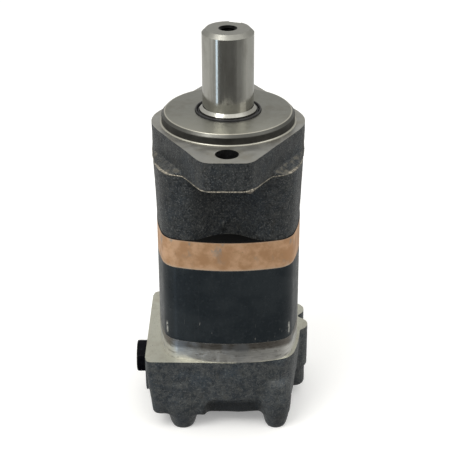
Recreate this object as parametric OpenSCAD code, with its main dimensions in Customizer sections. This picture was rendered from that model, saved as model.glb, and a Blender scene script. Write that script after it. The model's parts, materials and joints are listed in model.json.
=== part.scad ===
// Orbital disc-valve hydraulic motor with a two-bolt flange and a keyed shaft.
// The mounting flange's face is z = 0 and the shaft points along +Z. All sizes are in millimetres.

/* [Shaft and flange] */
// Diameter of the keyed output shaft
shaft_d = 31.75; // [30:0.05:32]
// Length of the shaft beyond the flange face
shaft_len = 59; // [50:0.5:70]
// Diameter of the locating pilot
pilot_d = 82.55; // [80:0.05:84]
// Height of the pilot above the flange face
pilot_h = 6.8; // [5:0.1:8]
// Distance between the two mounting holes
mount_spacing = 106.4; // [104:0.1:108]
// Diameter of the mounting holes
mount_hole_d = 14; // [11:0.1:15]

/* [Section lengths] */
// Length of the bearing housing below the flange face
housing_len = 62; // [62:0.5:64]
// Thickness of the wear plate
wear_t = 20; // [16:0.5:24]
// Width of the roller gear set
gear_w = 53; // [50:0.5:60]
// Thickness of the valve plate
valve_plate_t = 14.2; // [12:0.2:18]
// Height of the valve housing's block
block_h = 41.5; // [40:0.5:44]
// Height of the four feet under the block
foot_h = 11.5; // [10:0.5:14]

/* [Roller gear set] */
// Distance from the motor's axis to each roller's axis
pin_circle_r = 33; // [32.8:0.1:33.4]
// Diameter of each roller
roller_d = 13; // [12:0.1:13]
// Orbit radius of the star
orbit_r = 3.3; // [3:0.1:3.4]

/* [Ports] */
// Minor diameter of the two main port threads
port_d = 20.4; // [18:0.1:21]
// Distance between the two main ports
port_spacing = 49; // [46:0.5:52]
// Distance from the motor's axis to the port face
port_face_x = 53.8; // [52:0.2:56]

/* [Hidden] */
$fn = 96;
eps = 0.01;             // overlap that makes unions and cuts clean
run_gap = 0.05;         // running clearance between turning faces

// Section levels
z_wear = -housing_len;
z_gear = z_wear - wear_t;
z_plate = z_gear - gear_w;
z_block = z_plate - valve_plate_t;
z_base = z_block - block_h;
z_foot = z_base - foot_h;

// Body outline: four flat arcs, joined by a tangent arc at each corner
body_half = 45.8;
side_arc_r = 112;
corner_r = 14;

// Flange
lug_half = 66;
flange_across = 90.6;   // across the slanted flats
flange_side_r = 47.6;
flange_t = 19;
shoulder_z = -16.5;
mount_y = mount_spacing / 2;
spot_r = 19;            // room for a wrench round each mounting bolt
cast_half = 46.5;

// Tie bolts
bolt_x = 31.3;
bolt_y = 35.5;
bolt_r = 4;
bolt_hole_r = 4.3;
bolt_head_r = 5;
bolt_head_h = 8;
bolt_socket = 5;        // across the flats
bolt_seat_z = z_foot + 9.5;
bolt_top_z = -40;
foot_r = 9.2;

// Shaft, seals and bearings
shaft_r = shaft_d / 2;
shaft_chamfer = 2.5;
seal_r = 17.7;          // shaft radius under the seals
journal_r = 18.5;
collar_r = 21.5;
shaft_step_z = 8.2;     // the shoulder's edge; above it a 45 degree cone leads to the shaft
dust_pocket_r = 20.4;
seal_pocket_r = 24;
web_z = 1.5;
web_t = 3;
bearing_bore_r = 28;
bearing_w = 13;
front_bearing_z = -12.5;
rear_bearing_z = -42;
taper = 10;             // degrees
bearing_roller_d = 4.2;
bearing_roller_l = 9;
bearing_pitch_r = 23.25;
bearing_rollers = 20;
nut_t = 5.3;
shaft_end_z = -61.5;
key_w = 7.94;
key_depth = 4;
key_len = 38;
key_turn = -19;         // degrees from +Y
end_thread_r = 4.25;
end_thread_l = 24;

// Splines: [minor radius, major radius, width] of the teeth and of the slots that take them
spline_n = 12;
tooth_big = [10.2, 12.6, 2.3];
slot_big = [11.0, 13.3, 3.9];
tooth_small = [6.9, 9.0, 1.5];
slot_small = [7.6, 9.6, 2.6];
drive_pivot_z = -46;    // on the motor's axis, inside the shaft
drive_star_z = z_gear - 20;     // on the star's axis
link_star_z = z_plate + 12.5;   // on the star's axis
link_pivot_z = z_block - 6.8;   // on the motor's axis, inside the valve
tooth_half = 7;         // half the length of the main drive's teeth
link_half = 4;          // the same at the valve drive's star end
drive_tilt = atan(orbit_r / (drive_pivot_z - drive_star_z));
link_tilt = atan(orbit_r / (link_star_z - link_pivot_z));

// Gear set
roller_n = 7;
star_lobes = roller_n - 1;
gear_turn = 90;         // direction of the first roller, in degrees
roller_r = roller_d / 2;
ring_bore_r = pin_circle_r + 0.4;

// Valve end
valve_r = 30;
cavity_r = 30.4;
valve_t = 12.8;
balance_t = 9.4;
cavity_z = z_block - 22.8;
spring_r = 2.2;
spring_wire_r = 0.5;
spring_pocket_r = 3;
spring_pocket_h = 6;
spring_circle_r = 22;
pin_r = 1.5;

// Valve housing's block
upper_h = 28;           // its upper part follows the body's outline
lower_in = 3;           // and its lower part stands this far inside that
centre_boss_r = 24;     // raised disc under the valve chamber
centre_boss_h = 4;

// Port pad
rim = 2;                // the block stands this far proud of the valve plate on +X
pad_half = 45.7;
pad_t = 16;             // below the upper part
pad_join = 40;          // beside the upper part, in to the body's outline
port_y = port_spacing / 2;
port_z = z_block - 17.5;
port_depth = 16.5;
gallery_r = 5;
gallery_l = 36;         // from the port face in to the valve chamber
spot_face_r = 13.4;
spot_face_t = 0.6;
drain_z = z_block - 24;
drain_r = 8.3;
drain_depth = 12;       // the plug's thread goes in this far
drain_pipe_r = 3;
drain_pipe_l = 44;      // from the plug to the motor's axis
plug_af = 20.6;
plug_h = 7.7;
washer_t = 0.8;

// Check valves on the side away from the ports: [x, y, lobe radius, bottom]
check_valves = [[44.6, 3, 8.4, z_base - 5], [42.6, 22, 8.6, z_base + 2]];
boss_step = 10;         // the first boss narrows this far above the block's base
stub_in = 1.4;          // how much narrower the boss is below that
check_r = 4.2;
check_port_r = 1.8;
ball_r = 3;
ball_lift = 1.2;        // before the ball meets the edge of its port
check_plug_h = 7;

// Square body seals: [middle radius, level of the face that they seal]
seal_w = 1.8;
seal_h = 1.4;
seals = [[30.8, z_wear, 1], [41.3, z_gear, 1], [41.3, z_plate, -1], [41.3, z_block, -1]];

// ---------- shared shapes ----------

module tube(r_out, r_in, z_top, z_bottom) {
    translate([0, 0, z_bottom]) difference() {
        cylinder(r = r_out, h = z_top - z_bottom);
        translate([0, 0, -1]) cylinder(r = r_in, h = z_top - z_bottom + 2);
    }
}

module rod(r, z_top, z_bottom) {
    translate([0, 0, z_bottom]) cylinder(r = r, h = z_top - z_bottom);
}

// The corner arc's centre is on the diagonal, corner_r inside both side arcs
function corner_at(half) =
    let (c = side_arc_r - half, r = side_arc_r - corner_r)
    (sqrt(2 * r * r - c * c) - c) / 2;

module side_arc(half) {
    translate([half - side_arc_r, 0]) circle(side_arc_r, $fn = 360);
}

// The body's outline. The straight cut runs through the points where the arcs meet
module body_outline(half) {
    corner = corner_at(half);
    way = atan(corner / (corner + side_arc_r - half));
    cut = 2 * corner + corner_r * (cos(way) + sin(way));
    intersection() {
        intersection_for (a = [0:90:270]) rotate(a) side_arc(half);
        rotate(45) square(cut * sqrt(2), center = true);
    }
    for (x = [-corner, corner], y = [-corner, corner])
        translate([x, y]) circle(corner_r);
}

module body_prism(half, z_top, z_bottom) {
    translate([0, 0, z_bottom]) linear_extrude(z_top - z_bottom) body_outline(half);
}

module at_bolts() {
    for (sx = [-1, 1], sy = [-1, 1])
        translate([sx * bolt_x, sy * bolt_y, 0]) children();
}

// Splined prism: a core with straight-sided teeth, or the cavity that takes one
module spline(size, z_top, z_bottom) {
    rod(size[0], z_top, z_bottom);
    for (i = [0:spline_n - 1])
        rotate(i * 360 / spline_n)
            translate([0, -size[2] / 2, z_bottom])
                cube([size[1], size[2], z_top - z_bottom]);
}

// External spline whose tips are crowned, so that it can tilt
module crowned_spline(size, half_len, crown_r) {
    intersection() {
        spline(size, half_len, -half_len);
        sphere(r = crown_r);
    }
}

module seal_groove(seal) {
    tube(seal[0] + seal_w / 2, seal[0] - seal_w / 2, seal_top(seal), seal_top(seal) - seal_h);
}
function seal_top(seal) = seal[1] + (seal[2] > 0 ? seal_h : 0);

// ---------- housing sections ----------

module flange_outline() {
    intersection() {
        union() {
            circle(flange_side_r, $fn = 180);
            square([66, 2 * lug_half], center = true);
        }
        rotate(30) square([flange_across, 200], center = true);
        rotate(-30) square([flange_across, 200], center = true);
        circle(66.9, $fn = 180);
    }
}

module bearing_housing() {
    color([0.22, 0.23, 0.22]) difference() {
        union() {
            translate([0, 0, -flange_t]) linear_extrude(flange_t) flange_outline();
            difference() {
                body_prism(cast_half, shoulder_z, z_wear);
                for (s = [-1, 1])
                    translate([0, s * mount_y, z_wear - 1])
                        cylinder(r = spot_r, h = housing_len - flange_t + 1);
            }
            rotate_extrude()
                polygon([[0, -2], [pilot_d / 2, -2], [pilot_d / 2, pilot_h - 2],
                         [pilot_d / 2 - 2, pilot_h], [0, pilot_h]]);
        }
        // turned bores, from the dust seal down to the bearings
        rod(dust_pocket_r, pilot_h + 1, web_z);
        rod(seal_r + 0.4, pilot_h, -10);
        rod(seal_pocket_r, web_z - web_t, front_bearing_z - 1);
        rod(bearing_bore_r, front_bearing_z, z_wear - 1);
        for (s = [-1, 1])
            translate([0, s * mount_y, -flange_t - 1]) cylinder(d = mount_hole_d, h = flange_t + 2);
        at_bolts() rod(bolt_r + 0.05, bolt_top_z + 2, z_wear - 1);
        seal_groove(seals[0]);
    }
}

module wear_plate() {
    color([0.66, 0.45, 0.31]) difference() {
        body_prism(body_half, z_wear, z_gear);
        rod(16, z_wear + 1, z_gear - 1);
        at_bolts() rod(bolt_hole_r, z_wear + 1, z_gear - 1);
        seal_groove(seals[1]);
    }
}

module roller_ring() {
    color([0.12, 0.13, 0.14]) difference() {
        body_prism(body_half, z_gear, z_plate);
        rod(ring_bore_r, z_gear + 1, z_plate - 1);
        at_rollers() rod(roller_r + run_gap, z_gear + 1, z_plate - 1);
        at_bolts() rod(bolt_hole_r, z_gear + 1, z_plate - 1);
    }
}

module valve_plate() {
    color([0.62, 0.6, 0.56]) difference() {
        body_prism(body_half, z_plate, z_block);
        rod(14, z_plate + 1, z_block - 1);
        // one window for each chamber, half way between the rollers
        for (i = [0:roller_n - 1])
            rotate(gear_turn + (i + 0.5) * 360 / roller_n)
                translate([22, -2.5, z_block - 1]) cube([7.5, 5, valve_plate_t + 2]);
        at_bolts() rod(bolt_hole_r, z_plate + 1, z_block - 1);
        seal_groove(seals[2]);
    }
}

// Foot round a tie bolt's head, narrowing towards the ground
module foot(top) {
    rotate_extrude()
        polygon([[0, top], [foot_r, top], [foot_r, z_base], [foot_r - 0.7, z_foot + 7],
                 [foot_r - 1.7, z_foot + 3], [foot_r - 2.3, z_foot + 1.2],
                 [foot_r - 3, z_foot], [0, z_foot]]);
}

module valve_housing() {
    lower_z = z_block - upper_h;
    color([0.25, 0.26, 0.25]) difference() {
        union() {
            body_prism(body_half, z_block, lower_z);
            translate([rim, 0, 0]) body_prism(body_half, z_block, lower_z);
            body_prism(body_half - lower_in, lower_z + 1, z_base);
            // port pad
            translate([-port_face_x, -pad_half, z_base]) cube([pad_t, 2 * pad_half, block_h]);
            translate([-port_face_x, -pad_half, lower_z])
                cube([pad_join, 2 * pad_half, upper_h]);
            at_bolts() foot(lower_z);
            rod(centre_boss_r, z_base + 1, z_base - centre_boss_h);
            // check valve bosses
            for (c = check_valves)
                translate([c[0], c[1], 0]) {
                    rod(c[2], z_block, z_base + boss_step);
                    rod(c[2] - stub_in, z_base + boss_step + 1, c[3]);
                }
        }
        // valve chamber and the drain behind it
        rod(cavity_r, z_block + 1, cavity_z);
        rod(5, cavity_z + 1, drain_z - 7);
        translate([0, 0, drain_z - 4]) rotate([0, -90, 0])
            cylinder(r = drain_pipe_r, h = drain_pipe_l);
        for (a = [45:90:315])
            rotate(a) translate([spring_circle_r, 0, 0])
                rod(spring_pocket_r, cavity_z + 1, cavity_z - spring_pocket_h);
        for (a = [90, 270])
            rotate(a) translate([spring_circle_r, 0, 0])
                rod(pin_r + run_gap, cavity_z + 1, cavity_z - 5);
        // main ports, each with its spot face and gallery
        for (s = [-1, 1])
            translate([-port_face_x, s * port_y, port_z]) rotate([0, 90, 0]) {
                translate([0, 0, -1]) cylinder(r = spot_face_r, h = spot_face_t + 1);
                translate([0, 0, -1]) cylinder(d = port_d, h = port_depth + spot_face_t + 1);
                cylinder(r = gallery_r, h = gallery_l);
            }
        translate([-port_face_x - 1, 0, drain_z]) rotate([0, 90, 0])
            cylinder(r = drain_r, h = drain_depth + 1);
        // tie bolts
        at_bolts() {
            rod(bolt_hole_r, z_block + 1, z_foot - 1);
            rod(bolt_head_r + 0.3, bolt_seat_z, z_foot - 1);
        }
        // check valves
        for (c = check_valves) {
            translate([c[0], c[1], 0]) {
                rod(check_r, ball_z(c) + ball_r + ball_lift, c[3] - 1);
                rod(check_port_r, ball_z(c) + 12, c[3]);
            }
            translate([c[0], c[1], ball_z(c) + 9.4]) rotate([0, -90, atan(c[1] / c[0])])
                cylinder(r = check_port_r - 0.3, h = 20);
        }
        seal_groove(seals[3]);
    }
}

// ---------- shaft, seals and bearings ----------

module output_shaft() {
    color([0.6, 0.59, 0.56]) difference() {
        rotate_extrude()
            polygon([[0, shaft_len], [shaft_r - shaft_chamfer, shaft_len],
                     [shaft_r, shaft_len - shaft_chamfer],
                     [shaft_r, shaft_step_z + seal_r - shaft_r], [seal_r, shaft_step_z],
                     [seal_r, front_bearing_z + 1], [journal_r, front_bearing_z + 1],
                     [journal_r, front_bearing_z - bearing_w], [collar_r, front_bearing_z - bearing_w],
                     [collar_r, rear_bearing_z], [journal_r, rear_bearing_z],
                     [journal_r, shaft_end_z], [0, shaft_end_z]]);
        spline(slot_big, -31, shaft_end_z - 1);
        rotate(key_turn) translate([-key_w / 2, shaft_r - key_depth, shaft_len - key_len])
            cube([key_w, key_depth + 5, key_len + 1]);
        rod(end_thread_r, shaft_len + 1, shaft_len - end_thread_l);
        rotate_extrude()
            polygon([[0, shaft_len + 1], [6.7, shaft_len + 1], [5.7, shaft_len],
                     [end_thread_r - eps, shaft_len - 1.4], [0, shaft_len - 1.4]]);
    }
}

module dust_seal() {
    r_in = seal_r + run_gap;
    lip_z = pilot_h + 1.2;      // the outer lip stands proud of the pilot
    color([0.06, 0.06, 0.07]) rotate_extrude()
        polygon([[r_in, web_z], [dust_pocket_r, web_z], [dust_pocket_r, lip_z - 0.5],
                 [dust_pocket_r - 0.4, lip_z], [dust_pocket_r - 0.9, lip_z - 0.3],
                 [dust_pocket_r - 1.2, lip_z - 1.6], [r_in + 0.9, lip_z - 1.8],
                 [r_in + 0.5, lip_z - 0.7], [r_in, lip_z - 0.9]]);
}

module shaft_seal() {
    z = web_z - web_t;
    r_in = seal_r + run_gap;
    color([0.1, 0.1, 0.1]) rotate_extrude()
        polygon([[r_in + 0.6, z], [seal_pocket_r, z], [seal_pocket_r, z - 7],
                 [seal_pocket_r - 2, z - 7], [seal_pocket_r - 2, z - 2.5], [r_in + 2, z - 2.5],
                 [r_in + 1.6, z - 6.5], [r_in, z - 5.5], [r_in + 0.6, z - 3]]);
}

module seal_washer() {
    color([0.7, 0.7, 0.68]) tube(seal_pocket_r, seal_r + 0.5, web_z - web_t - 7, web_z - web_t - 8.6);
}

// Tapered roller bearing, whose small end is at the top; flip = 1 turns it over
module bearing_cup() {
    mid = bearing_pitch_r + bearing_roller_d / 2 / cos(taper) + run_gap;
    slope = tan(taper) * bearing_w / 2;
    rotate_extrude()
        polygon([[bearing_bore_r, 0], [bearing_bore_r, -bearing_w],
                 [mid + slope, -bearing_w], [mid - slope, 0]]);
}

module bearing_cone() {
    mid = bearing_pitch_r - bearing_roller_d / 2 / cos(taper) - run_gap;
    slope = tan(taper);
    race = bearing_roller_l / 2 + 0.25;
    rotate_extrude()
        polygon([[journal_r, -0.3], [mid - slope * race + 0.5, -0.3],
                 [mid - slope * race + 0.5, -bearing_w / 2 + race],
                 [mid - slope * race, -bearing_w / 2 + race],
                 [mid + slope * race, -bearing_w / 2 - race],
                 [mid + slope * race + 1.2, -bearing_w / 2 - race],
                 [mid + slope * race + 1.2, -bearing_w], [journal_r, -bearing_w]]);
}

module at_bearing_rollers() {
    for (i = [0:bearing_rollers - 1])
        rotate(i * 360 / bearing_rollers)
            translate([bearing_pitch_r, 0, -bearing_w / 2]) rotate([0, -taper, 0]) children();
}

module bearing_roller_set() {
    at_bearing_rollers()
        cylinder(d = bearing_roller_d, h = bearing_roller_l, center = true);
}

module bearing_cage() {
    shift = 0.45;
    shell = 0.5;
    half = bearing_roller_l / 2 + 0.9;
    slope = tan(taper) * half;
    mid = bearing_pitch_r + shift;
    difference() {
        rotate_extrude()
            polygon([[mid - slope, -bearing_w / 2 + half], [mid - slope + shell * 2, -bearing_w / 2 + half],
                     [mid + slope + shell * 2, -bearing_w / 2 - half], [mid + slope, -bearing_w / 2 - half]]);
        at_bearing_rollers()
            cube([6, bearing_roller_d + 0.3, bearing_roller_l + 0.3], center = true);
    }
}

module at_front_bearing() {
    translate([0, 0, front_bearing_z]) children();
}

module at_rear_bearing() {
    translate([0, 0, rear_bearing_z - bearing_w]) rotate([180, 0, 0]) children();
}

module bearing_nut() {
    top = rear_bearing_z - bearing_w;
    color([0.35, 0.35, 0.36]) difference() {
        tube(24.5, journal_r + 0.02, top, top - nut_t);
        for (a = [0:90:270])
            rotate(a) translate([22.5, -2.5, top - nut_t - 1]) cube([4, 5, nut_t + 2]);
    }
}

module cup_spacer() {
    color([0.4, 0.4, 0.41]) tube(bearing_bore_r, 25.6, rear_bearing_z - bearing_w, z_wear);
}

// ---------- drives and gear set ----------

module main_drive() {
    reach = (drive_pivot_z - drive_star_z) / cos(drive_tilt);
    color([0.5, 0.5, 0.5])
        translate([0, 0, drive_pivot_z]) rotate([drive_tilt, 0, 0]) {
            crowned_spline(tooth_big, tooth_half, 13.2);
            translate([0, 0, -reach]) crowned_spline(tooth_big, tooth_half, 13.2);
            rod(8.5, -6, -reach + 6);
        }
}

module drive_spacer() {
    color([0.55, 0.52, 0.4]) translate([0, orbit_r, 0])
        rod(10.6, drive_star_z - tooth_half - 1.8, link_star_z + link_half + 3.8);
}

// Centre path of a roller as the star sees it, and the inward offset of that path
function path(t) = [pin_circle_r * cos(t) - orbit_r * cos(roller_n * t),
                    pin_circle_r * sin(t) - orbit_r * sin(roller_n * t)];
function path_way(t) = [-pin_circle_r * sin(t) + roller_n * orbit_r * sin(roller_n * t),
                        pin_circle_r * cos(t) - roller_n * orbit_r * cos(roller_n * t)];
function star_point(t) =
    let (w = path_way(t), inward = [-w[1], w[0]] / norm(w))
    path(t) + (roller_r + run_gap) * inward;

// Closer steps in the roots between the lobes, where the outline turns fastest
function star_step(a) = a - 0.8 * sin(star_lobes * a) * (180 / PI) / star_lobes;

module star() {
    steps = star_lobes * 44;
    color([0.58, 0.58, 0.57]) translate([0, orbit_r, 0]) difference() {
        rotate(gear_turn) translate([0, 0, z_plate + run_gap])
            linear_extrude(gear_w - 2 * run_gap)
                polygon([for (i = [0:steps - 1]) star_point(star_step(i * 360 / steps))]);
        spline(slot_big, z_gear + 1, z_plate - 1);
    }
}

module at_rollers() {
    for (i = [0:roller_n - 1])
        rotate(gear_turn + i * 360 / roller_n) translate([pin_circle_r, 0, 0]) children();
}

module roller(i) {
    color([0.7, 0.7, 0.7])
        rotate(gear_turn + i * 360 / roller_n) translate([pin_circle_r, 0, 0])
            rod(roller_r, z_gear - run_gap, z_plate + run_gap);
}

module valve_drive() {
    reach = (link_star_z - link_pivot_z) / cos(link_tilt);
    color([0.5, 0.5, 0.5])
        translate([0, 0, link_pivot_z]) rotate([-link_tilt, 0, 0]) {
            crowned_spline(tooth_small, 3.8, 9.4);
            translate([0, 0, reach]) crowned_spline(tooth_big, link_half, 12.8);
            rod(5.6, reach - 3, 3);
        }
}

// ---------- valve end ----------

module valve_disc() {
    top = z_block - run_gap;
    color([0.55, 0.55, 0.53]) difference() {
        rod(valve_r, top, top - valve_t);
        spline(slot_small, top + 1, top - valve_t - 1);
        for (i = [0:2 * star_lobes - 1])
            rotate(i * 180 / star_lobes)
                translate([20.5, -1.8, top - (i % 2 == 0 ? 8 : valve_t + 1)])
                    cube([7, 3.6, valve_t + 2]);
    }
}

module balance_ring() {
    top = z_block - valve_t - 2 * run_gap;
    color([0.6, 0.58, 0.5]) difference() {
        tube(valve_r, 13.5, top, top - balance_t);
        tube(valve_r + 1, 27.6, top - balance_t + 2.2, top - balance_t - 1);
        tube(15.8, 12, top - balance_t + 2.2, top - balance_t - 1);
        for (a = [90, 270])
            rotate(a) translate([spring_circle_r, 0, 0])
                rod(pin_r + run_gap, top - balance_t + 4, top - balance_t - 1);
    }
}

// Closed coil of wire, swept along a helix: coil_sides points in each ring
coil_sides = 6;
coil_steps = 14;        // rings in one turn
function coil_point(i, k, rings, length) =
    let (a = i * 360 / coil_steps, b = k * 360 / coil_sides, r = spring_r + spring_wire_r * cos(b))
    [r * cos(a), r * sin(a), length * i / rings + spring_wire_r * sin(b)];

module coil(turns, length) {
    rings = turns * coil_steps;
    last = coil_sides - 1;
    points = [for (i = [0:rings], k = [0:last]) coil_point(i, k, rings, length)];
    walls = [for (i = [0:rings - 1], k = [0:last])
        let (n = (k + 1) % coil_sides, low = i * coil_sides, high = low + coil_sides)
        each [[low + k, high + k, high + n], [low + k, high + n, low + n]]];
    ends = [[for (k = [0:last]) k], [for (k = [last:-1:0]) rings * coil_sides + k]];
    polyhedron(points, concat(walls, ends));
}

module balance_springs() {
    bottom = cavity_z - spring_pocket_h;
    top = z_block - valve_t - 2 * run_gap - balance_t;
    color([0.45, 0.45, 0.46])
        for (a = [45:90:315])
            rotate(a) translate([spring_circle_r, 0, bottom + spring_wire_r])
                coil(4, top - bottom - 2 * spring_wire_r);
}

module balance_pins() {
    color([0.7, 0.7, 0.7])
        for (a = [90, 270])
            rotate(a) translate([spring_circle_r, 0, 0]) rod(pin_r, cavity_z + 3.5, cavity_z - 4.9);
}

module outer_face_seal() {
    color([0.15, 0.12, 0.1]) tube(cavity_r, 27.9, cavity_z + 2.2, cavity_z);
}

module inner_face_seal() {
    color([0.15, 0.12, 0.1]) tube(15.5, 12.5, cavity_z + 2.2, cavity_z);
}

module body_seals() {
    color([0.08, 0.08, 0.08]) for (s = seals) seal_groove(s);
}

module tie_bolts() {
    color([0.12, 0.12, 0.12]) at_bolts() difference() {
        union() {
            rod(bolt_r, bolt_top_z, bolt_seat_z - 1);
            rod(bolt_head_r, bolt_seat_z, bolt_seat_z - bolt_head_h);
        }
        translate([0, 0, bolt_seat_z - bolt_head_h - 1])
            cylinder(d = bolt_socket / cos(30), h = 5, $fn = 6);
    }
}

// ---------- plugs and check valves ----------

module drain_plug() {
    head_x = -port_face_x - washer_t;
    color([0.05, 0.05, 0.06]) translate([head_x, 0, drain_z]) rotate([0, -90, 0]) {
        intersection() {
            cylinder(d = plug_af / cos(30), h = plug_h, $fn = 6);
            rotate_extrude()
                polygon([[0, 0], [plug_af / 2 + 1.5, 0], [plug_af / 2 + 1.5, plug_h - 1.2],
                         [plug_af / 2 - 0.2, plug_h], [0, plug_h]]);
        }
        translate([0, 0, -10]) cylinder(r = drain_r - run_gap, h = 10 + eps);
    }
}

module drain_plug_washer() {
    color([0.45, 0.35, 0.25]) translate([-port_face_x, 0, drain_z]) rotate([0, -90, 0])
        difference() {
            cylinder(r = 10.1, h = washer_t);
            translate([0, 0, -1]) cylinder(r = drain_r, h = washer_t + 2);
        }
}

function ball_z(c) = c[3] + check_plug_h + 3 + ball_r;

module check_plugs() {
    color([0.3, 0.3, 0.3]) for (c = check_valves)
        translate([c[0], c[1], 0]) difference() {
            union() {
                rod(check_r - 0.02, c[3] + check_plug_h, c[3]);
                rod(2, c[3] + check_plug_h + 3 - eps, c[3] + 1);
            }
            translate([0, 0, c[3] - 1]) cylinder(d = 4 / cos(30), h = 4, $fn = 6);
        }
}

module check_ball(c) {
    color([0.8, 0.8, 0.8]) translate([c[0], c[1], ball_z(c) + 0.02]) sphere(r = ball_r);
}

// ---------- assembly ----------

module front_bearing_cup() { color([0.66, 0.66, 0.65]) at_front_bearing() bearing_cup(); }
module front_bearing_cone() { color([0.66, 0.66, 0.65]) at_front_bearing() bearing_cone(); }
module front_bearing_cage() { color([0.6, 0.5, 0.3]) at_front_bearing() bearing_cage(); }
module front_bearing_rollers() { color([0.75, 0.75, 0.75]) at_front_bearing() bearing_roller_set(); }
module rear_bearing_cup() { color([0.66, 0.66, 0.65]) at_rear_bearing() bearing_cup(); }
module rear_bearing_cone() { color([0.66, 0.66, 0.65]) at_rear_bearing() bearing_cone(); }
module rear_bearing_cage() { color([0.6, 0.5, 0.3]) at_rear_bearing() bearing_cage(); }
module rear_bearing_rollers() { color([0.75, 0.75, 0.75]) at_rear_bearing() bearing_roller_set(); }
module check_ball_1() { check_ball(check_valves[0]); }
module check_ball_2() { check_ball(check_valves[1]); }

bearing_housing();
wear_plate();
roller_ring();
valve_plate();
valve_housing();
output_shaft();
dust_seal();
shaft_seal();
seal_washer();
front_bearing_cup();
front_bearing_cone();
front_bearing_cage();
front_bearing_rollers();
rear_bearing_cup();
rear_bearing_cone();
rear_bearing_cage();
rear_bearing_rollers();
bearing_nut();
cup_spacer();
main_drive();
drive_spacer();
star();
valve_drive();
valve_disc();
balance_ring();
balance_springs();
balance_pins();
outer_face_seal();
inner_face_seal();
body_seals();
tie_bolts();
drain_plug();
drain_plug_washer();
check_plugs();
check_ball_1();
check_ball_2();
for (i = [1:roller_n])
    roller(i - 1);
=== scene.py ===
"""Looks for the hydraulic motor: cast housings, plates, shaft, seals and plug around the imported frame.

Lengths are in millimetres until a mesh is made. The frame's origin is the flange face's centre.
"""

import json
import math

import bmesh
import bpy
import numpy as np
from mathutils import Matrix, Vector


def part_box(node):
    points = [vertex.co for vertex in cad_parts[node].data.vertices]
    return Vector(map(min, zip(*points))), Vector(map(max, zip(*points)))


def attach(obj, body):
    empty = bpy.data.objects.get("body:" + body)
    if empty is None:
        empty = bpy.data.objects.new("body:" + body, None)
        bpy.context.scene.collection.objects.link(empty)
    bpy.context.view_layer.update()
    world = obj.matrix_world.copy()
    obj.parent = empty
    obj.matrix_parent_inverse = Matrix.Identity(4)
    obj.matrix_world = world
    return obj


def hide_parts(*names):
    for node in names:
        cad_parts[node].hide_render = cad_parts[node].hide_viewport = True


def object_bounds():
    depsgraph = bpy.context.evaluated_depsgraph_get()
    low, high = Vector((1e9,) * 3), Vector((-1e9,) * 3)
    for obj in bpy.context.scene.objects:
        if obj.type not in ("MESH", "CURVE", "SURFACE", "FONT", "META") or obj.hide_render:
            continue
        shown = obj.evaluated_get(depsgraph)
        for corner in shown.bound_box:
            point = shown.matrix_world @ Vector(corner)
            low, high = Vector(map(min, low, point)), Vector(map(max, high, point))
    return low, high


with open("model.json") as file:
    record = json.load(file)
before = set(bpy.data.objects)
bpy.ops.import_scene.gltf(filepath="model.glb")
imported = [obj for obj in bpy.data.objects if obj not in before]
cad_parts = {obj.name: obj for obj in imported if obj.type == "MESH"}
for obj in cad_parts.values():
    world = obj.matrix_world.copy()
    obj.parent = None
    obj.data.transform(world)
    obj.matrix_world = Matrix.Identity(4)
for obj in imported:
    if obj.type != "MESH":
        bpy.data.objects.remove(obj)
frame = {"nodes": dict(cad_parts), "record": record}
cad_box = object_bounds()
MM = 0.001

# ---------------------------------------------------------------- levels and sizes from the frame


def extent(node):
    """A CAD node's lowest and highest corners, in millimetres."""
    low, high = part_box(node)
    return np.array(low) / MM, np.array(high) / MM


HOUSING_HIGH = extent("bearing_housing")[1]
BLOCK_LOW, BLOCK_HIGH = extent("valve_housing")
SHAFT_HIGH = extent("output_shaft")[1]
WEAR_LOW, WEAR_HIGH = extent("wear_plate")
RING_LOW = extent("roller_ring")[0]
PLATE_HIGH = extent("valve_plate")[1]
PLUG_LOW, PLUG_HIGH = extent("drain_plug")
SEAL_HIGH = extent("dust_seal")[1]

MOUNTS = {m["name"]: m for m in frame["record"]["mounts"]}
Z_WEAR = WEAR_HIGH[2]
Z_BLOCK = BLOCK_HIGH[2]
Z_FOOT = BLOCK_LOW[2]
FLANGE_T = 19.0  # the flange's thickness
MOUNT_Y = MOUNTS["mounting_holes"]["dims"]["spacing_y_mm"] / 2
MOUNT_R = MOUNTS["mounting_holes"]["dims"]["hole_r_mm"]
PILOT_R = MOUNTS["pilot"]["dims"]["r_mm"]
PILOT_H = HOUSING_HIGH[2]
SHAFT_R = MOUNTS["shaft"]["dims"]["r_mm"]
PORT_R = MOUNTS["port_a"]["dims"]["r_mm"]
PORT_Y = abs(MOUNTS["port_a"]["pos_m"][1]) / MM
PORT_Z = MOUNTS["port_a"]["pos_m"][2] / MM
SIDE_ARC = 112.0  # radius of the body's four flat sides
BOLT_X = 31.3  # the tie bolts' distance from the motor's axis, each way
BOLT_Y = 35.5
PAD_X = -BLOCK_LOW[0]
Z_BASE = Z_FOOT + 11.5  # the block's underside, above the feet

# ---------------------------------------------------------------- solid fields


def smooth_min(a, b, k):
    """Joins two fields with a concave blend about k wide."""
    h = np.clip(0.5 + 0.5 * (b - a) / k, 0.0, 1.0)
    return b + (a - b) * h - k * h * (1.0 - h)


def smooth_max(a, b, k):
    """Intersects two fields with a rounded edge about k wide."""
    return -smooth_min(-a, -b, k)


def disc(x, y, cx, cy, r):
    """Distance outside an upright cylinder."""
    return np.hypot(x - cx, y - cy) - r


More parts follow.
